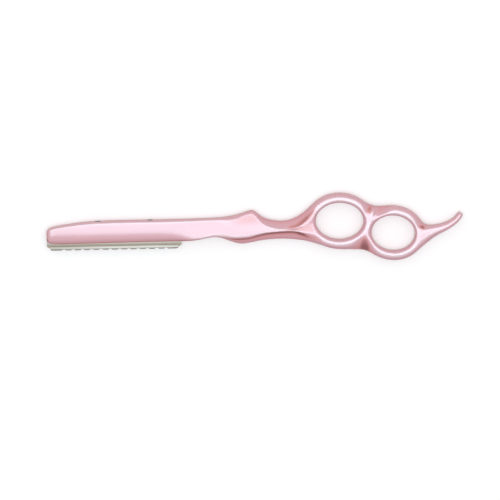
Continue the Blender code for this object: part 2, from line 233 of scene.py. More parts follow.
# %% [markdown]
# The handle is a forged bar under a pink pearl coat. In the photograph the pink stays almost the same on
# every side, and a white gloss lies over it where the soft box is mirrored, so the finish is a pink that
# scatters light, a little metal in it, and a clear coat on top. The coat carries the faint ripple of paint,
# and cloudy noise shifts the pink and the roughness a little, as handling does.
# The coat's colour is painted with light and shade: on the crests of the face it is a paler pink, a painted
# highlight, and in the hollows a deeper pink and then dark, a painted shade, where its gloss is also taken
# off. Both go by "hollow", a number that is worked out for each point of the mesh further on, above 0 in a
# hollow and below 0 on a crest. The side walls are painted a deeper pink, a painted shade, with hardly any
# gloss, and the walls of the two screw holes are painted near-black, a painted shade inside the holes.

# %% Where the coat changes, and where highlight and shade are painted
screw_names = ("clip_screw_front", "clip_screw_rear")
countersink = 0.00162        # its radius
recipe = Recipe(bpy.data.materials.new("pink_pearl_coat"),
                IOR=1.5, Specular_IOR_Level=0.2, Coat_IOR=2.0, Coat_Roughness=0.145)
hollow = recipe.node("ShaderNodeAttribute", {"attribute_name": "hollow"})["Fac"]
point = recipe.node("ShaderNodeSeparateXYZ", None, {0: recipe.place()})
up = point["Z"] - half
rise = abs(up) / half
on_face = recipe.clamped(14 * (rise - 0.92))
# Paler pink on the crests of the face: a painted highlight.
painted_crest_highlight = recipe.clamped(-3.3 * hollow) * on_face
# Steep side walls: a deeper pink there is painted shade, and the coat's gloss is taken off.
side_shade_and_matt = recipe.clamped(1.9 * (0.82 - rise))

# The walls of the screw holes are painted near-black: a painted shade inside the holes.
def in_hole(name):
    """Far above 0 round the screw's axis and far below 0 past its countersink."""
    low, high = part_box(name)
    across = point["X"] - (low.x + high.x) / 2
    return 5000000 * (countersink ** 2 - across * across - up * up)

print("black walls round", len(screw_names), "screws")

# %% Pink pearl coat
cloud = recipe.noise(90, 2.0)
grain = recipe.noise(5200, 2.0)
ripple = recipe.noise(900, 2.0)
pink = recipe.blend(cloud, (0.69, 0.355, 0.395), (0.735, 0.380, 0.422))
# Painted highlight: the crests turn a paler pink.
pink = recipe.blend(painted_crest_highlight, pink, (0.76, 0.55, 0.58))
# Painted shade: a deeper pink on the steep side walls.
pink = recipe.blend(side_shade_and_matt, pink, (0.74, 0.345, 0.368))
# Painted shade: the hollows turn a deeper pink and, deeper in, dark.
pink = recipe.blend(3 * hollow, pink, (0.77, 0.335, 0.325))
pink = recipe.blend(1.33 * (hollow - 0.25), pink, (0.35, 0.135, 0.138))
# Painted shade: the walls of the screw holes turn near-black.
for name in screw_names:
    pink = recipe.blend(in_hole(name), pink, (0.03, 0.028, 0.03))
gloss = recipe.clamped(1 - 1.6 * side_shade_and_matt - 1.4 * hollow)
pink_pearl = recipe.finish(Base_Color=pink, Coat_Weight=gloss, Metallic=0.04 + 0.04 * grain,
                           Roughness=0.36 + 0.1 * cloud, Normal=recipe.bump(ripple + 0.4 * grain, 0.000004))

# %% [markdown]
# The floor is a plain pale sheet just under the razor. It takes the razor's shadow, and the camera sees it a
# little brighter than it lights the razor: the extra part reaches only camera, mirror and glass rays. More
# light would whiten it too, but it would bleach the pink.

# %% Floor
recipe = Recipe(bpy.data.materials.new("pale_floor"), Roughness=0.9, Specular_IOR_Level=0.1)
rays = recipe.node("ShaderNodeLightPath")
seen = rays["Is Camera Ray"] + rays["Is Glossy Ray"] + rays["Is Transmission Ray"]
paper = recipe.noise(14, 1.0)
floor_look = recipe.finish(Base_Color=recipe.blend(paper, (0.62, 0.61, 0.60), (0.64, 0.63, 0.62)))
matt = recipe.node("ShaderNodeBsdfDiffuse", None, {"Color": (0.79, 0.775, 0.755, 1)})
glow = recipe.node("ShaderNodeEmission", None, {"Color": (1, 1, 1, 1), "Strength": 0.315})
pale = recipe.node("ShaderNodeAddShader", None, {0: matt, 1: glow})
plain = Wire(recipe, recipe.surface.outputs[0])
shown = recipe.node("ShaderNodeMixShader", None, {0: seen, 1: plain, 2: pale})
recipe.feed(recipe.tree.nodes["Material Output"].inputs["Surface"], shown)

bpy.ops.object.select_all(action="DESELECT")
bpy.ops.mesh.primitive_plane_add(size=6, location=(0, 0, -0.0002))
floor = bpy.context.object
floor.name = "floor"
floor.data.materials.append(floor_look)
print("floor at", round(floor.location.z, 5))

# %% [markdown]
# Small helpers for modelling by operator. Each piece is opened alone in edit mode, its points or faces are
# selected in code by where they are, and then an operator moves, extrudes or bends what is selected.

# %% Modelling helpers
touching = 0.00001           # points this close are one point

def alone(piece):
    bpy.ops.object.select_all(action="DESELECT")
    piece.select_set(True)
    bpy.context.view_layer.objects.active = piece

def open_up(piece, mode="VERT", action="DESELECT"):
    alone(piece)
    bpy.ops.object.mode_set(mode="EDIT")
    bpy.ops.mesh.select_mode(type=mode)
    bpy.ops.mesh.select_all(action=action)

def close_up():
    bpy.ops.object.mode_set(mode="OBJECT")

def pick(piece, test, parts="verts"):
    """Selects the points, edges or faces whose own data pass the test."""
    net = bmesh.from_edit_mesh(piece.data)
    bpy.ops.mesh.select_all(action="DESELECT")
    chosen = [part for part in getattr(net, parts) if test(part)]
    for part in chosen:
        part.select_set(True)
    net.select_flush_mode()
    bmesh.update_edit_mesh(piece.data)
    return len(chosen)

def turn(angle, axis, centre):
    """A plain turn. With no window the operator turns the other way, so the angle changes sign."""
    bpy.ops.transform.rotate(value=-angle, orient_axis=axis, center_override=centre)

def resize(factors, centre=(0, 0, 0)):
    bpy.ops.transform.resize(value=factors, center_override=centre)

def shift(by):
    bpy.ops.transform.translate(value=by)

def move_points(piece, moves):
    """Takes the point at each first place to the second, one at a time."""
    net = bmesh.from_edit_mesh(piece.data)
    pairs = [(min(net.verts, key=lambda vert: (vert.co - start).length_squared), end) for start, end in moves]
    for vert, end in pairs:
        bpy.ops.mesh.select_all(action="DESELECT")
        vert.select_set(True)
        shift(end - vert.co)

def apply_all(piece):
    alone(piece)
    for modifier in list(piece.modifiers):
        bpy.ops.object.modifier_apply(modifier=modifier.name)

def cut_away(piece, cutter):
    """Takes the cutter's shape out of the piece and deletes the cutter."""
    step = piece.modifiers.new("cut", "BOOLEAN")
    step.object = cutter
    step.solver = "EXACT"
    apply_all(piece)
    bpy.data.objects.remove(cutter)

# %% [markdown]
# The handle's sizes. The head's middle line and its tip are where the CAD blade says, and everything on the
# handle is measured from there. The thickness is shared by the head and the rings.

# %% Sizes of the handle
body_length = 0.12145        # from the tip to the first ring
head_height = 0.0104
first_hole = (0.0218, 0.0169)
second_hole = (0.0198, 0.0162)
bar = 0.0047                 # width of the metal round a hole
ring_line = math.radians(-13.7)
first_tilt = math.radians(-1)
second_tilt = math.radians(-7)
rest_length = 0.01745
rest_rise = 0.0091
rest_root = 0.0066           # width of the finger rest where it starts
ring_steps = 20
blade_drop = 0.00265         # from the head's lower edge down to the blade's

blade_low, blade_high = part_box("blade_strip")
tip = Vector((blade_low.x, blade_low.y + blade_drop + head_height / 2, (blade_low.z + blade_high.z) / 2))
print("tip of the head at", [round(value, 5) for value in tip])

# %% [markdown]
# A finger ring is an oval hole with a bar of even width round it. It starts as a circle of twenty points
# that is stretched to the hole's oval, and two more lines are extruded from it and stretched outward: the
# crest in the middle of the bar and the outer edge. A smooth surface lies inside its net of lines, so every
# line is let out by the amount that smoothing takes back. The points start at the bar that both rings share.

# %% Where the rings' points are
let_out = 6 / (4 + 2 * math.cos(math.tau / ring_steps))

class Ring:
    def __init__(self, hole, tilt, facing):
        self.length, self.height = hole[0] / 2, hole[1] / 2
        self.tilt = tilt
        stretch = (self.length + bar / 2) / (self.height + bar / 2)
        self.start = math.atan2(math.sin(facing - tilt) * stretch, math.cos(facing - tilt))
        self.centre = Vector((0, 0, 0))

    def reach(self, direction, offset):
        across = math.cos(direction - self.tilt) / (self.length + offset)
        up = math.sin(direction - self.tilt) / (self.height + offset)
        return 1 / math.hypot(across, up)

    def point(self, step, offset, height=0.0):
        angle = self.start + math.tau * step / ring_steps
        flat = Vector((math.cos(angle) * (self.length + offset), math.sin(angle) * (self.height + offset), 0))
        return self.centre + Matrix.Rotation(self.tilt, 3, "Z") @ flat * let_out + Vector((0, 0, height * half))

first = Ring(first_hole, first_tilt, ring_line)
second = Ring(second_hole, second_tilt, ring_line + math.pi)
first.centre = Vector((body_length + first.length + bar / 2, 0.00304, 0))
spacing = first.reach(ring_line, 0) + bar + second.reach(ring_line + math.pi, 0)
second.centre = first.centre + Vector((math.cos(ring_line), math.sin(ring_line), 0)) * spacing
print("rings at", [round(value, 5) for value in first.centre], [round(value, 5) for value in second.centre])

# %% Make a ring's three lines from a circle
side_height = 0.885          # heights are in half thicknesses
crest_height = 1.06
crest_line = 0.34 * bar
edge_line = bar - 0.00015

def ring_net(name, ring, dropped):
    """The ring's faces, without the points of the outer edge where something else goes on."""
    bpy.ops.object.select_all(action="DESELECT")
    bpy.ops.mesh.primitive_circle_add(vertices=ring_steps, radius=1, fill_type="NOTHING")
    net = bpy.context.object
    net.name = name
    open_up(net, action="SELECT")
    turn(ring.start - math.pi / 2, "Z", (0, 0, 0))
    resize((ring.length * let_out, ring.height * let_out, 1))
    shift((0, 0, side_height * half))
    for near, far, rise in ((0, crest_line, 1), (crest_line, edge_line, -1)):
        bpy.ops.mesh.extrude_region_move()
        resize(((ring.length + far) / (ring.length + near), (ring.height + far) / (ring.height + near), 1))
        shift((0, 0, rise * (crest_height - side_height) * half))
    bpy.ops.mesh.select_all(action="SELECT")
    turn(ring.tilt, "Z", (0, 0, 0))
    shift(ring.centre)
    places = [ring.point(step, edge_line, side_height) for step in dropped]
    pick(net, lambda vert: any((vert.co - place).length < touching for place in places))
    bpy.ops.mesh.delete(type="VERT")
    close_up()
    print(name, "has", len(net.data.polygons), "faces")
    return net

first_net = ring_net("first_ring", first, (0, 11, 12))
second_net = ring_net("second_ring", second, (0, 10))

# %% [markdown]
# The head, the hump, the neck and the flare are one strip of seven long lines: spine, upper crest, fold,
# keel, lower crest, flute and belly. Beside the blade the face bends gently from the middle down and thins
# towards the edge, so it mirrors less and less of the soft box. Under the neck's lower crest the metal drops
# steeply and then runs out flatter, which draws the dark line below the ridge. Each row gives how far along
# the body it lies, the seven lines in head heights from the middle line, and their heights in half
# thicknesses. Close rows make a tight bend and wide ones a soft one, so the hump and the neck have the most.

# %% Rows of the head, worked out from its outline
head_outline = ((0.026, 0.272, -0.512), (0.081, 0.362, -0.508), (0.139, 0.446, -0.504), (0.196, 0.492, -0.497),
                (0.295, 0.499, -0.489), (0.402, 0.494, -0.477), (0.492, 0.500, -0.469))
head_heights = (0.78, 1.00, 0.994, 0.955, 0.885, 0.73, 0.545)

def head_row(along, spine, lower):
    return along, (spine, spine - 0.070, 0.15, -0.12, lower * 0.64, lower + 0.050, lower), head_heights

body_rows = (
    (0.000, (0.080, 0.030, -0.030, -0.120, -0.205, -0.260, -0.300), (0.62, 0.68, 0.70, 0.69, 0.66, 0.62, 0.56)),
    (0.006, (0.190, 0.115, 0.000, -0.235, -0.350, -0.405, -0.442), (0.70, 0.93, 0.95, 0.92, 0.86, 0.78, 0.58)),
    *(head_row(*row) for row in head_outline),
    (0.553, (0.502, 0.447, 0.200, -0.270, -0.395, -0.446, -0.468), (0.76, 1.00, 1.00, 1.00, 0.97, 0.90, 0.70)),
    (0.597, (0.516, 0.456, 0.330, -0.140, -0.302, -0.350, -0.372), (0.76, 1.00, 1.00, 1.00, 1.00, 0.93, 0.74)),
    (0.637, (0.530, 0.462, 0.335, -0.050, -0.200, -0.242, -0.262), (0.75, 1.00, 1.00, 1.00, 1.00, 0.92, 0.72)),
    (0.679, (0.552, 0.490, 0.335, -0.070, -0.330, -0.385, -0.432), (0.70, 0.95, 1.00, 1.00, 0.99, 0.82, 0.66)),
    (0.727, (0.665, 0.605, 0.275, -0.080, -0.352, -0.420, -0.662), (0.66, 0.885, 1.00, 1.00, 0.98, 0.66, 0.54)),
    (0.760, (0.790, 0.728, 0.215, -0.080, -0.336, -0.405, -0.618), (0.60, 0.79, 1.00, 1.00, 0.98, 0.64, 0.50)),
    (0.784, (0.890, 0.815, 0.160, -0.070, -0.262, -0.330, -0.562), (0.55, 0.755, 1.00, 1.00, 0.98, 0.63, 0.48)),
    (0.806, (0.610, 0.415, 0.110, -0.060, -0.195, -0.262, -0.512), (0.46, 0.905, 1.00, 1.00, 0.99, 0.63, 0.47)),
    (0.834, (0.420, 0.120, 0.030, -0.050, -0.120, -0.185, -0.470), (0.44, 0.99, 1.00, 1.00, 1.00, 0.62, 0.47)),
    (0.884, (0.322, -0.009, -0.030, -0.055, -0.081, -0.143, -0.436), (0.44, 1.00, 1.00, 1.00, 1.00, 0.62, 0.47)),
    (0.921, (0.372, 0.009, -0.012, -0.040, -0.062, -0.128, -0.462), (0.44, 1.00, 0.995, 0.995, 1.00, 0.63, 0.47)),
    (0.955, (0.545, 0.065, 0.020, -0.040, -0.100, -0.175, -0.508), (0.45, 1.00, 0.97, 0.965, 1.00, 0.66, 0.47)),
    (0.981, (0.775, 0.310, 0.125, -0.090, -0.225, -0.305, -0.556), (0.47, 0.99, 0.94, 0.93, 0.98, 0.70, 0.48)),
)
body_points = [[Vector((along * body_length, line * head_height, height * half))
                for line, height in zip(lines, heights)] for along, lines, heights in body_rows]
print(len(body_points), "rows of", len(body_points[0]), "points")

# %% [markdown]
# The rings, the body and the finger rest share points where they meet, so that they can be merged into one
# skin. The webs, above and below the bar that the rings share, are two short rows of points that sag inward
# from one ring to the other. In the upper web one point stands high between two low ones, which gives the
# small ridge there. Joining finished solids by a Boolean would leave a hard seam round each joint instead.

# %% Edges of the rings
flare_heights = {10: 1.03, 11: 0.89, 12: 0.88, 13: 1.03}
flare_rim = 0.80
root_heights = {11: 1.03, 10: 0.99, 9: 1.03}
join_height = 1.01

first_edge = {step: first.point(step, edge_line, side_height) for step in (*range(1, 11), *range(13, 20))}
second_edge = {step: second.point(step, edge_line, side_height) for step in (*range(1, 10), *range(11, 20))}
first_end = {step: place.copy() for step, place in first_edge.items()}
second_end = {step: place.copy() for step, place in second_edge.items()}
print(len(first_edge), "and", len(second_edge), "points on the rings' edges")

# %% Rows of the finger rest
rest_rows = (
    (0.127, 0.013, 15, 0.490, 0.99),
    (0.316, 0.129, 17, 0.345, 0.98),
    (0.520, 0.255, 22, 0.282, 0.965),
    (0.714, 0.447, 35, 0.235, 0.94),
    (0.858, 0.680, 50, 0.215, 0.92),
    (0.926, 0.870, 56, 0.200, 0.91),
    (0.953, 0.955, 57, 0.170, 0.89),
)

def rest_row(along, rise, heading, width, thickness, last):
    start = second.centre + Vector((second.length + bar, 0, 0))
    middle = start + Vector((along * rest_length, rise * rest_rise, 0))
    angle = math.radians(heading)
    across = Vector((-math.sin(angle), math.cos(angle), 0)) * width * rest_root
    section = (0.55, 0.95, 0.99, 0.97, 0.60) if last else (0.55, 0.97, 1.00, 0.99, 0.64)
    return [middle + across * place + Vector((0, 0, height * thickness * half))
            for place, height in zip((1, 0.8, 0.15, -0.55, -1), section)]

rest_points = [rest_row(*row, row is rest_rows[-1]) for row in rest_rows]

first_end[10] = body_points[-1][0].lerp(first_edge[9], 0.5)
first_end[13] = body_points[-1][-1].lerp(first_edge[14], 0.5)
second_end[11] = rest_points[0][0].lerp(second_edge[12], 0.5)
second_end[11].z = 0.9 * half
second_end[12].z = 0.55 * half
print(len(rest_points), "rows of", len(rest_points[0]), "points")

# %% The two webs
web_ridge = 1.11
web_heights = (0.38, web_ridge, 0.38, 0.40, 0.88, 0.84, 0.55, 0.30, 0.76)

def web(start, end, sags, inward):
    count = len(sags) + 1
    return [start.lerp(end, (i + 1) / count) + Vector((0, inward * sag * bar, 0)) for i, sag in enumerate(sags)]

top_web = web(first_edge[3], second_edge[16], (0.14, 0.20, 0.17, 0.09), -1)
bottom_web = web(first_edge[16], second_edge[4], (0.12, 0.24, 0.35, 0.40, 0.28), 1)
for place, height in zip((*top_web, *bottom_web), web_heights):
    place.z = height * half
top_web[1] += Vector((-0.0010, 0, 0))
first_end.update(zip((2, 1, 17, 18, 19), (*top_web[:2], *bottom_web[:3])))
second_end.update(zip((19, 18, 17, 1, 2, 3), (*top_web[1:], *bottom_web[2:])))
print("web points:", len(top_web), "above the shared bar and", len(bottom_web), "below it")

# %% Heights of the crests, and the three points that the rings share
def crest_places(ring, heights):
    return {step: ring.point(step, crest_line, heights.get(step, crest_height)) for step in range(ring_steps)}

first_crest = crest_places(first, flare_heights)
second_crest = crest_places(second, root_heights)
for step, across, up in ((8, 0, -0.0003), (9, 0.0001, -0.0004), (10, 0, 0.0006)):
    first_crest[step] += Vector((across, up, 0))
for step, other, height in ((0, 0, crest_height), (1, 19, join_height), (19, 1, join_height)):
    shared = first.point(step, crest_line).lerp(second.point(other, crest_line), 0.5) + Vector((0, 0, height * half))
    first_crest[step] = second_crest[other] = shared
print("crests of", len(first_crest), "and", len(second_crest), "points")

# %% Take the rings' points to their places
for net, ring, crest, edge in ((first_net, first, first_crest, first_end),
                               (second_net, second, second_crest, second_end)):
    open_up(net)
    moves = [(ring.point(step, crest_line, crest_height), place) for step, place in crest.items()]
    moves += [(ring.point(step, edge_line, side_height), place) for step, place in edge.items()]
    if ring is first:
        moves += [(ring.point(step, 0, side_height), ring.point(step, 0, flare_rim)) for step in (11, 12)]
    move_points(net, moves)
    close_up()
    print(net.name, "takes", len(moves), "moves")

# %% [markdown]
# The body and the finger rest are strips of four-sided faces. Each starts as a flat grid with the right
# number of rows, and its points are taken one by one to the places worked out above. One row of each strip
# is a row of the ring's own points, so the two nets merge there without a gap.

# %% Make the body and the finger rest from grids
def strip(name, rows):
    across = len(rows[0])
    bpy.ops.object.select_all(action="DESELECT")
    bpy.ops.mesh.primitive_grid_add(x_subdivisions=len(rows) - 1, y_subdivisions=across - 1, size=1)
    net = bpy.context.object
    net.name = name
    open_up(net)
    moves = []
    for i, row in enumerate(rows):
        for j, place in enumerate(row):
            regular = Vector((i / (len(rows) - 1) - 0.5, 0.5 - j / (across - 1), 0))
            moves.append((regular, place))
    move_points(net, moves)
    close_up()
    print(name, "has", len(net.data.polygons), "faces")
    return net

flare_row = [first_end[10], *(first_crest[step] for step in (10, 11, 12, 13)), first_end[13], first_end[13]]
root_row = [second_end[11], *(second_crest[step] for step in (11, 10, 9)), second_end[9]]
handle = strip("handle_skin", body_points + [flare_row])
rest_net = strip("finger_rest", [root_row] + rest_points)

# %% [markdown]
# Hollows show in the photograph as deep pink lines and pools of shade: beside the flare, under the neck's ridge,
# in the webs and along the head's lower edge, and here that shade is painted into the coat's colour. Part of the
# painted shade follows from the shape. Where a point's neighbours rise out of its tangent plane it lies in a
# hollow, and where they fall away, on a crest. The other pools of painted shade are laid along paths between
# known points. Each has a radius, an amount, and the heights, in half thicknesses, between which it works. The
# sum is smoothed and kept in the mesh as an attribute, which moves with the piece and can be baked. Colours
# painted on by hand would not follow when a size is changed.

# %% Pools of painted shade
web_floor = (first_crest[19].lerp(bottom_web[3], 0.45), bottom_web[3])
web_edge = (bottom_web[1].lerp(bottom_web[2], 0.7), bottom_web[3], bottom_web[4])
left_dish = (first_crest[1].lerp(top_web[0], 0.5), first_crest[2].lerp(top_web[0], 0.7))
right_dish = (first_crest[1].lerp(top_web[2], 0.5), second_crest[18].lerp(top_web[2], 0.6))
rest_corner = (second_crest[11].lerp(second_end[12], 0.4), second_crest[11].lerp(second_end[11], 0.5))
flare = (body_points[-1][2], first_crest[12])
hump_facet = (body_points[13][1].lerp(body_points[13][2], 0.3), body_points[15][1].lerp(body_points[15][2], 0.4))
upper_seam = [row[1].lerp(row[0], share) for row, share in zip(body_points[-3:], (0.08, 0.18, 0.24))]
upper_seam += [first_crest[step].lerp(first_end[step], 0.28) for step in (10, 9, 8)]
lower_seam = [row[4].lerp(row[6], 0.25) for row in body_points[-2:]]
lower_seam += [first_crest[step].lerp(first_end[step], 0.45) for step in (13, 14, 15, 16)]
cutting_side = [row[6] for row in body_points[:12]]
painted_shade_pools = (
    (web_floor, 0.0027, 0.75, 0.28, 0.93),
    (web_edge, 0.0032, 0.62, 0.28, 0.93),
    (left_dish, 0.0027, 0.36, 0.28, 0.93),
    (right_dish, 0.0027, 0.12, 0.28, 0.93),
    (rest_corner, 0.0021, 1.45, 0.28, 0.93),
    (flare, 0.0050, 0.15, 0.6, 0.965),
    (hump_facet, 0.0040, 0.24, 0.6, 1.1),
    (upper_seam, 0.0013, 0.85, 0.4, 0.97),
    (lower_seam, 0.0012, 0.5, 0.4, 0.95),
    (cutting_side, 0.0010, 1.2, 0.45, 0.9),
    (body_points[0], 0.0009, 0.5, 0.45, 0.9),
)
print(len(painted_shade_pools), "painted_shade_pools")

# %% Mark the hollows
full_hollow = 120            # the bend that counts as 1, in one over metres
crest_limit, hollow_limit = -0.35, 0.95
smoothings = 5

def distance(place, path):
    """How far the place is from the path, seen from above."""
    found = []
    for start, end in zip(path, path[1:]):
        span = (end - start).to_2d()
        offset = (place - start).to_2d()
        share = max(0, min(1, offset.dot(span) / span.length_squared)) if span.length else 0
        found.append((offset - span * share).length)
    return min(found)

def mark_hollows(piece):
    """Keeps how hollow each point is in the mesh, before the piece goes to its place."""
    net = bmesh.new()
    net.from_mesh(piece.data)
    hollow = net.verts.layers.float.new("hollow")
    for vert in net.verts:
        bends = [(edge.other_vert(vert).co - vert.co).dot(vert.normal) / edge.calc_length() ** 2
                 for edge in vert.link_edges]
        vert[hollow] = max(crest_limit, min(hollow_limit, sum(bends) / len(bends) / full_hollow))
        for path, radius, amount, lowest, highest in painted_shade_pools:
            if lowest < abs(vert.co.z) / half < highest:
                vert[hollow] += amount * max(0, 1 - (distance(vert.co, path) / radius) ** 2)
    for _ in range(smoothings):
        means = [sum(edge.other_vert(vert)[hollow] for edge in vert.link_edges) / len(vert.link_edges)
                 for vert in net.verts]
        for vert, mean in zip(net.verts, means):
            vert[hollow] = 0.5 * (vert[hollow] + mean)
    print("hollows from", *(round(limit(vert[hollow] for vert in net.verts), 2) for limit in (min, max)))
    net.to_mesh(piece.data)
    net.free()

# %% [markdown]
# The four nets are joined and the points where they meet are merged. The open rim is then extruded down to
# the middle plane, and a mirror makes the lower half. Three levels of subdivision turn the net into a smooth
# casting. Creases keep some lines crisper: the upper and the lower crest of the body and the small ridge of
# the upper web. A sculpted mesh could have the same form, but here a size can still be changed.

# %% Join the nets and close the rim
alone(handle)
for net in (first_net, second_net, rest_net):
    net.select_set(True)
bpy.ops.object.join()
open_up(handle, action="SELECT")
bpy.ops.mesh.remove_doubles(threshold=touching)
bpy.ops.mesh.normals_make_consistent(inside=False)
bpy.ops.mesh.select_mode(type="EDGE")
print(pick(handle, lambda edge: edge.is_boundary, "edges"), "edges round the open rims")
bpy.ops.mesh.extrude_region_move()
resize((1, 1, 0))
bpy.ops.mesh.select_all(action="SELECT")
bpy.ops.mesh.normals_make_consistent(inside=False)

# %% Crease the crisp lines
def crease(weight, test):
    count = pick(handle, test, "edges")
    bpy.ops.transform.edge_crease(value=weight)
    print("creased", count, "edges by", weight)

def joins(edge, start, end):
    """True for the edge between the two places."""
    one, other = (vert.co for vert in edge.verts)
    return any((one - near).length < touching and (other - far).length < touching
               for near, far in ((start, end), (end, start)))

def on_line(edge, line, start, end):
    """True for an edge of one of the body's seven lines, between two shares of the body's length."""
    along = [row[line] for row in body_points]
    ends = [min(range(len(along)), key=lambda i: (along[i] - vert.co).length) for vert in edge.verts]
    near = all((along[i] - vert.co).length < touching for i, vert in zip(ends, edge.verts))
    return near and ends[0] != ends[1] and all(start <= along[i].x / body_length <= end for i in ends)

ridge_foot = Vector((*top_web[1].xy, 0))
crease(0.45, lambda edge: on_line(edge, 1, 0.00, 0.70))
crease(0.40, lambda edge: on_line(edge, 1, 0.70, 0.99) or on_line(edge, 4, 0.67, 0.99))
crease(0.30, lambda edge: on_line(edge, 4, 0.00, 0.67))
crease(0.35, lambda edge: joins(edge, first_crest[1], top_web[1]) or joins(edge, top_web[1], ridge_foot))
close_up()

# %% Mirror and smooth the skin
mirror = handle.modifiers.new("lower half", "MIRROR")
mirror.use_axis = (False, False, True)
mirror.use_clip = True
mirror.merge_threshold = touching
smooth = handle.modifiers.new("smooth", "SUBSURF")
smooth.levels = 3
smooth.render_levels = 3
apply_all(handle)
open_up(handle, action="SELECT")
bpy.ops.mesh.normals_make_consistent(inside=False)
close_up()
mark_hollows(handle)
open_up(handle, action="SELECT")
shift(tip)
close_up()
bpy.ops.object.shade_smooth()
heights = [vert.co.z for vert in handle.data.vertices]
print("handle:", len(handle.data.polygons), "faces, z", round(min(heights), 5), "to", round(max(heights), 5))

# %% [markdown]
# The head is milled open along its lower edge, and that slot holds the clip and the blade. It is cut with a
# block whose far corners are rounded like a milling cutter's end. Two holes for the set screws come in from
# the spine, each with a small countersink. They are plain, because a thread inside would never show.

# %% Cut the slot
gap = 0.0003                 # air round the clip
past_tip = 0.004             # how far the cutter reaches out of the head
under_head = 0.003
mill_radius = 0.0006
blade_start, blade_end = blade_low.x, blade_high.x
clip_low, clip_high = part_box("blade_clip")
slot_top = clip_high.y + gap
slot_half = (clip_high.z - clip_low.z) / 2 + gap
slot_start, slot_end = blade_start - past_tip, blade_end + gap
slot_floor = tip.y - head_height / 2 - under_head

bpy.ops.object.select_all(action="DESELECT")
bpy.ops.mesh.primitive_cube_add(size=1, location=((slot_start + slot_end) / 2, (slot_floor + slot_top) / 2, tip.z),
                                scale=(slot_end - slot_start, slot_top - slot_floor, 2 * slot_half))
slot_cutter = bpy.context.object
bpy.ops.object.transform_apply(location=True, rotation=True, scale=True)

def at_far_end(edge):
    """True for the edges at the slot's closed end that run from its floor to its top."""
    one, other = (vert.co for vert in edge.verts)
    return min(one.x, other.x) > blade_end and abs(one.z - other.z) < touching

open_up(slot_cutter, "EDGE")
pick(slot_cutter, at_far_end, "edges")
bpy.ops.mesh.bevel(offset=mill_radius, segments=4)
close_up()
cut_away(handle, slot_cutter)
print("slot", round(slot_end - blade_start, 4), "long and", round(2 * slot_half, 5), "wide")

# %% Cut the screw holes
play = 0.00008               # air round a screw
straight_then_wide = ((1.0, 0.00005), (1.3, 0.0005))

def rod(vertices, radius, depth, place, across=True):
    """A cylinder along Y, across the head, or else along Z."""
    bpy.ops.object.select_all(action="DESELECT")
    bpy.ops.mesh.primitive_cylinder_add(vertices=vertices, radius=radius, depth=depth, location=place,
                                        rotation=(math.radians(-90 if across else 0), 0, 0))
    bpy.ops.object.transform_apply(location=True, rotation=True, scale=True)
    return bpy.context.object

for name in screw_names:
    low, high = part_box(name)
    centre = (low + high) / 2
    bottom, top = slot_top - 0.001, high.y + 0.0001
    hole_cutter = rod(48, (high.x - low.x) / 2 + play, top - bottom, (centre.x, (top + bottom) / 2, centre.z))
    open_up(hole_cutter, "FACE")
    pick(hole_cutter, lambda face: face.normal.y > 0.9, "faces")
    shift((0, -0.0002, 0))
    for out, up in straight_then_wide:
        bpy.ops.mesh.extrude_region_move()
        shift((0, up, 0))
        resize((out, 1, out), centre)
    close_up()
    cut_away(handle, hole_cutter)
alone(handle)
bpy.ops.object.shade_smooth_by_angle(angle=math.radians(38))
print("handle with slot and holes:", len(handle.data.polygons), "faces")

# %% [markdown]
# The set screws are short rods with a hexagon socket. Each starts as a cylinder of the CAD screw's size.
# Its rims are bevelled, and the socket is cut by a six-sided rod whose bottom ends in a drill point. A
# socket drawn on in colour would stay flat when the light moves.

# %% Set screws
rim = 0.00022
socket_radius = 0.00073
socket_depth = 0.0013
drill_point = 0.0003

def set_screw(name):
    low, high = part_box(name)
    centre = (low + high) / 2
    screw = rod(48, (high.x - low.x) / 2, high.y - low.y, centre)
    screw.name = name + "_dressed"
    open_up(screw, "EDGE")
    pick(screw, lambda edge: abs(edge.verts[0].co.y - edge.verts[1].co.y) < touching, "edges")
    bpy.ops.mesh.bevel(offset=rim, segments=3)
    close_up()
    socket = rod(6, socket_radius, 2 * socket_depth, (centre.x, high.y, centre.z))
    open_up(socket, "FACE")
    pick(socket, lambda face: face.normal.y < -0.9, "faces")
    bpy.ops.mesh.extrude_region_move()
    shift((0, -drill_point, 0))
    resize((0.05, 1, 0.05), centre)
    close_up()
    cut_away(screw, socket)
    alone(screw)
    bpy.ops.object.shade_smooth_by_angle(angle=math.radians(30))
    print(screw.name, "has", len(screw.data.polygons), "faces")
    return screw

screws = [set_screw(name) for name in screw_names]

# %% [markdown]
# The clip, the blade's back and the guard are all sheet steel folded once. Each is made as the sheet is
# bent: one wall starts as a plane, its edge is extruded step by step along the section, spun half a turn for
# the fold, and extruded down the other side. Solidify then gives the sheet its thickness, inward.

# %% Fold a sheet
fold_steps = 10

def draw_on(section):
    """Extrudes the chosen edge from each (y, z) of the section to the next."""
    for (y, z), (far_y, far_z) in zip(section, section[1:]):
        bpy.ops.mesh.extrude_region_move()
        shift((0, far_y - y, far_z - z))

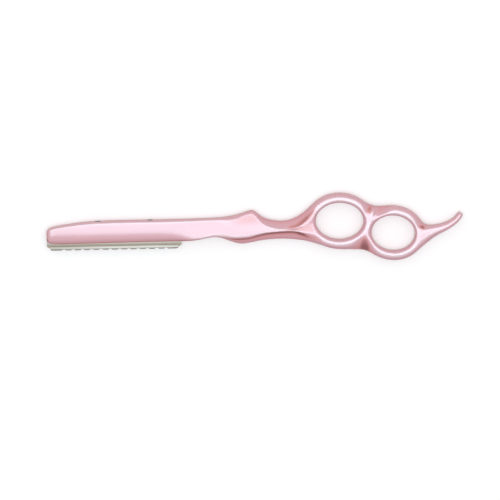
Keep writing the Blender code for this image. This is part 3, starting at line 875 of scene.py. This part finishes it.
def folded(name, start, end, section, wall):
    """section holds (y, height over the middle) from the open edge to the fold."""
    bpy.ops.object.select_all(action="DESELECT")
    bpy.ops.mesh.primitive_plane_add(size=1)
    sheet = bpy.context.object
    sheet.name = name
    open_up(sheet)
    move_points(sheet, [(Vector((plane_x, plane_y, 0)), Vector((x, y, tip.z + z)))
                        for plane_x, x in ((-0.5, start), (0.5, end))
                        for plane_y, (y, z) in zip((-0.5, 0.5), section)])
    bpy.ops.mesh.select_mode(type="EDGE")
    pick(sheet, lambda edge: all(abs(vert.co.y - section[1][0]) < touching for vert in edge.verts), "edges")
    draw_on(section[1:])
    outward = 1 if section[-1][0] > section[0][0] else -1
    bpy.ops.mesh.spin(steps=fold_steps, angle=outward * math.pi, center=(0, section[-1][0], tip.z), axis=(1, 0, 0))
    draw_on([(y, -z) for y, z in reversed(section)])
    bpy.ops.mesh.select_all(action="SELECT")
    bpy.ops.mesh.remove_doubles(threshold=touching)
    close_up()
    if sum(face.normal.z * (face.center.z - tip.z) for face in sheet.data.polygons) < 0:
        open_up(sheet, action="SELECT")
        bpy.ops.mesh.flip_normals()
        close_up()
    thicken = sheet.modifiers.new("sheet thickness", "SOLIDIFY")
    thicken.thickness = wall
    thicken.offset = -1
    apply_all(sheet)
    print(name, len(sheet.data.polygons), "faces")
    return sheet

def soften(piece, width):
    """Rounds the piece's edges a little, so that they catch the light."""
    edge = piece.modifiers.new("soft edges", "BEVEL")
    edge.width = width
    edge.segments = 2
    edge.limit_method = "ANGLE"
    edge.angle_limit = math.radians(40)
    apply_all(piece)
    bpy.ops.object.shade_smooth_by_angle(angle=math.radians(35))

# %% Clip, folded back and guard
clip_half = (clip_high.z - clip_low.z) / 2
clip_section = ((clip_low.y + 0.00014, clip_half), (clip_low.y + 0.0005, clip_half - 0.0003),
                (clip_low.y + 0.0011, clip_half - 0.00035), (clip_low.y + 0.0022, clip_half - 0.0001),
                (clip_high.y - clip_half + 0.0001, clip_half - 0.0001))
clip = folded("clip_sheet", clip_low.x, clip_high.x, clip_section, wall=0.0003)
soften(clip, width=0.00005)

back_low, back_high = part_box("blade_back")
back_half = (back_high.z - back_low.z) / 2
back_section = ((back_low.y + 0.0004, 0.00044), (back_low.y + 0.0012, 0.00046),
                (back_low.y + 0.0017, back_half - 0.00006), (back_low.y + 0.0021, back_half),
                (back_high.y - back_half, back_half))
back = folded("back_sheet", back_low.x, back_high.x, back_section, wall=0.00025)
soften(back, width=0.00004)

guard_low, guard_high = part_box("blade_guard")
guard_half = (guard_high.z - guard_low.z) / 2
guard_section = ((guard_high.y, 0.00043), (guard_high.y - 0.00025, 0.00052), (guard_high.y - 0.0006, 0.00062),
                 (guard_high.y - 0.0010, guard_half - 0.00002), (guard_high.y - 0.00135, 0.00060),
                 (guard_low.y + 0.00038, 0.00038))
guard = folded("guard_sheet", guard_low.x, guard_high.x, guard_section, wall=0.00022)

# %% [markdown]
# The guard is a comb: twelve shallow notches with round tops let the hair reach the edge. One notch cutter
# is modelled, a cylinder with its lower half drawn downward, and the others are copies of it. The ends of
# the guard follow the blade's clipped corners, so they are bisected by a slanting plane.

# %% Notches and slanted ends of the guard
notch_count = 12
first_notch = 0.0078         # from the blade's end to its middle
notch_pitch = 0.00427
notch_radius = 0.00115
notch_depth = 0.0006
corner_length = 0.0025       # how far the clipped corners reach along the edge
crown = guard_low.y + notch_depth - notch_radius

comb = rod(32, notch_radius, 0.004, (blade_start + first_notch, crown, tip.z), across=False)
open_up(comb)
pick(comb, lambda vert: vert.co.y < crown - touching)
shift((0, -0.002, 0))
close_up()
copies = []
for number in range(1, notch_count):
    alone(comb)
    bpy.ops.object.duplicate()
    copies.append(bpy.context.object)
    open_up(copies[-1], action="SELECT")
    shift((number * notch_pitch, 0, 0))
    close_up()
alone(comb)
for copy in copies:
    copy.select_set(True)
bpy.ops.object.join()
cut_away(guard, comb)

def clip_corners(piece, lowest):
    """Cuts off what lies beyond a slanting plane at each end and closes the cuts."""
    for side, end in ((-1, blade_start), (1, blade_end)):
        open_up(piece, action="SELECT")
        bpy.ops.mesh.bisect(plane_co=(end - side * corner_length, lowest, tip.z), plane_no=(side * 0.45, -0.9, 0),
                            use_fill=True, clear_outer=True)
        close_up()

clip_corners(guard, guard_low.y)
soften(guard, width=0.00004)
print("guard with", notch_count, "notches:", len(guard.data.polygons), "faces")

# %% [markdown]
# The blade is a plain strip, ground from both sides to an edge. It starts as a block of the CAD blade's
# size. Two cuts mark where the grinding and the finer edge start, the points below them are pressed
# together, and the two lower corners are clipped.

# %% Blade strip
ground_band = 0.0009
edge_band = 0.0003
bpy.ops.object.select_all(action="DESELECT")
bpy.ops.mesh.primitive_cube_add(size=1, location=(blade_low + blade_high) / 2, scale=blade_high - blade_low)
strip_piece = bpy.context.object
strip_piece.name = "strip_ground"
bpy.ops.object.transform_apply(location=True, rotation=True, scale=True)
for height in (ground_band, edge_band):
    open_up(strip_piece, action="SELECT")
    bpy.ops.mesh.bisect(plane_co=(0, blade_low.y + height, 0), plane_no=(0, 1, 0))
    close_up()
for height, share in ((edge_band, 0.38), (0, 0.15)):
    open_up(strip_piece)
    pick(strip_piece, lambda vert: vert.co.y < blade_low.y + height + touching)
    resize((1, 1, share), (0, 0, tip.z))
    close_up()
clip_corners(strip_piece, blade_low.y)
alone(strip_piece)
bpy.ops.object.shade_smooth_by_angle(angle=math.radians(10))
print("blade strip:", len(strip_piece.data.polygons), "faces")

# %% [markdown]
# Steels differ by how they were worked. Rolled sheet, the guard and the back, shows long fine lines, and the
# back is painted a shade brighter: a painted light, for the back lies in the shade of the slot's lip. The
# ground blade is painted darker and warmer, a painted shade for the narrow recess it shows in, with short
# lines across its edge. The clip is blued spring steel and the screws are blackened. One function makes them
# all: a noise that is stretched one way gives the lines, which shift the roughness and lift the surface a few
# thousandths of a millimetre.

# %% Steel finishes
def steel(name, light, dark, stretch, roughness, spread, lift):
    recipe = Recipe(bpy.data.materials.new(name), Metallic=1.0)
    lines = recipe.noise(1.0, 3.0, stretch)
    stain = recipe.noise(160, 2.0)
    tone = recipe.blend(lines * 0.6 + stain * 0.4, dark, light)
    return recipe.finish(Base_Color=tone, Roughness=roughness + spread * lines + 0.12 * stain,
                         Normal=recipe.bump(lines, lift))

satin = steel("satin_rolled_steel", (0.68, 0.645, 0.585), (0.53, 0.50, 0.445), (160, 9000, 9000), 0.38, 0.16, 0.000008)
# Painted shade: the blade is made dark and warm for the narrow recess it shows in.
blade_steel_painted_dark = steel("ground_blade_steel_painted_dark", (0.31, 0.265, 0.195), (0.225, 0.19, 0.135), (9000, 260, 260), 0.30, 0.14, 0.000006)
# Painted light: a lighter copy of the rolled steel, for the back in the shade of the slot's lip.
back_steel_painted_lighter = steel("rolled_steel_painted_lighter", (0.80, 0.775, 0.72), (0.66, 0.635, 0.58), (160, 9000, 9000), 0.40, 0.16, 0.000008)
spring = steel("blued_spring_steel", (0.36, 0.37, 0.40), (0.25, 0.25, 0.28), (200, 7000, 7000), 0.28, 0.14, 0.000006)
black = steel("blackened_screw_steel", (0.075, 0.072, 0.078), (0.035, 0.034, 0.038), (4000, 1500, 4000),
              0.38, 0.12, 0.000005)

# %% [markdown]
# Each piece rides on the body of the CAD solid that it stands for, so it moves with the joint, and the piece
# and that hidden solid get the same material. A piece that reached past its solid could touch another one when
# the cartridge slides, so every point is compared with the solid's box.

# %% Finish
slack = 0.0001               # metres
dressed = (
    (handle, "razor_body", "handle", "pink_metal", pink_pearl),
    (screws[0], "razor_body", "clip_screw_front", "black_oxide_steel", black),
    (screws[1], "razor_body", "clip_screw_rear", "black_oxide_steel", black),
    (clip, "razor_body", "blade_clip", "spring_steel", spring),
    (back, "cartridge", "blade_back", "satin_steel", back_steel_painted_lighter),
    (strip_piece, "cartridge", "blade_strip", "ground_steel", blade_steel_painted_dark),
    (guard, "cartridge", "blade_guard", "satin_steel", satin),
)
for piece, body, node, slot, look in dressed:
    piece.data.materials.clear()
    piece.data.materials.append(look)
    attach(piece, body)
    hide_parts(node)
    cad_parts[node].data.materials.clear()
    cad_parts[node].data.materials.append(look)
    low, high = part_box(node)
    inside = all(low[axis] - slack < vert.co[axis] < high[axis] + slack
                 for vert in piece.data.vertices for axis in range(3))
    print(piece.name, "rides on", body, "and stands for", node, "- inside its box:", inside)
